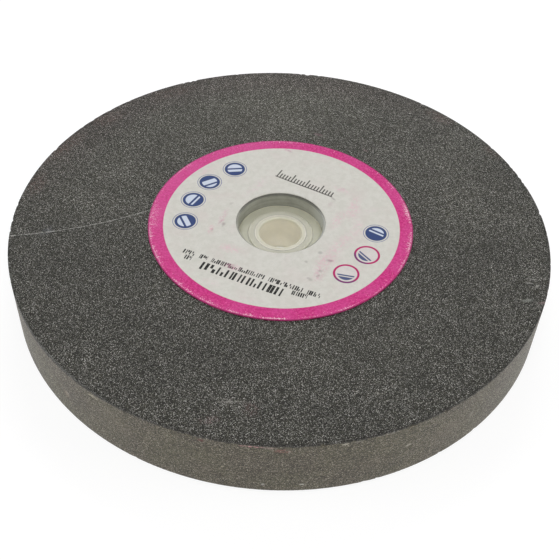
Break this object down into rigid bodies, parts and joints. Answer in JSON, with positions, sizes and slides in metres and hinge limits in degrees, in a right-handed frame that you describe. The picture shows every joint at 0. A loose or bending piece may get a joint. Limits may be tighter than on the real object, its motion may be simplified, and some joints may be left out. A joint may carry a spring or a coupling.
{
  "type": "bench grinding wheel",
  "caption": "Straight grey abrasive disc for a bench grinder, with a lined bore, nested plastic reducing bushes and a round card blotter on each face.",
  "frame": {"origin": "centre of the underside of the rear blotter, on the wheel's axis", "axes": "+Z along the wheel's axis, towards the printed front face; +Y away from the viewer in the picture, +X to the viewer's right"},
  "size_m": [0.2, 0.2, 0.0266],
  "materials": {
    "abrasive_grit": "coarse matte grit, dark grey",
    "lining_cement": "smooth matte grey casting",
    "printed_card": "matte white card with a magenta border",
    "plain_card": "uncoated card",
    "bush_plastic": "natural white plastic, slightly translucent"
  },
  "bodies": {
    "root": {"abrasive_wheel": "abrasive_grit", "bore_lining": "lining_cement", "front_blotter": "printed_card", "rear_blotter": "plain_card", "reducing_bush_outer": "bush_plastic", "reducing_bush_middle": "bush_plastic", "reducing_bush_inner": "bush_plastic"}
  },
  "joints": []
}
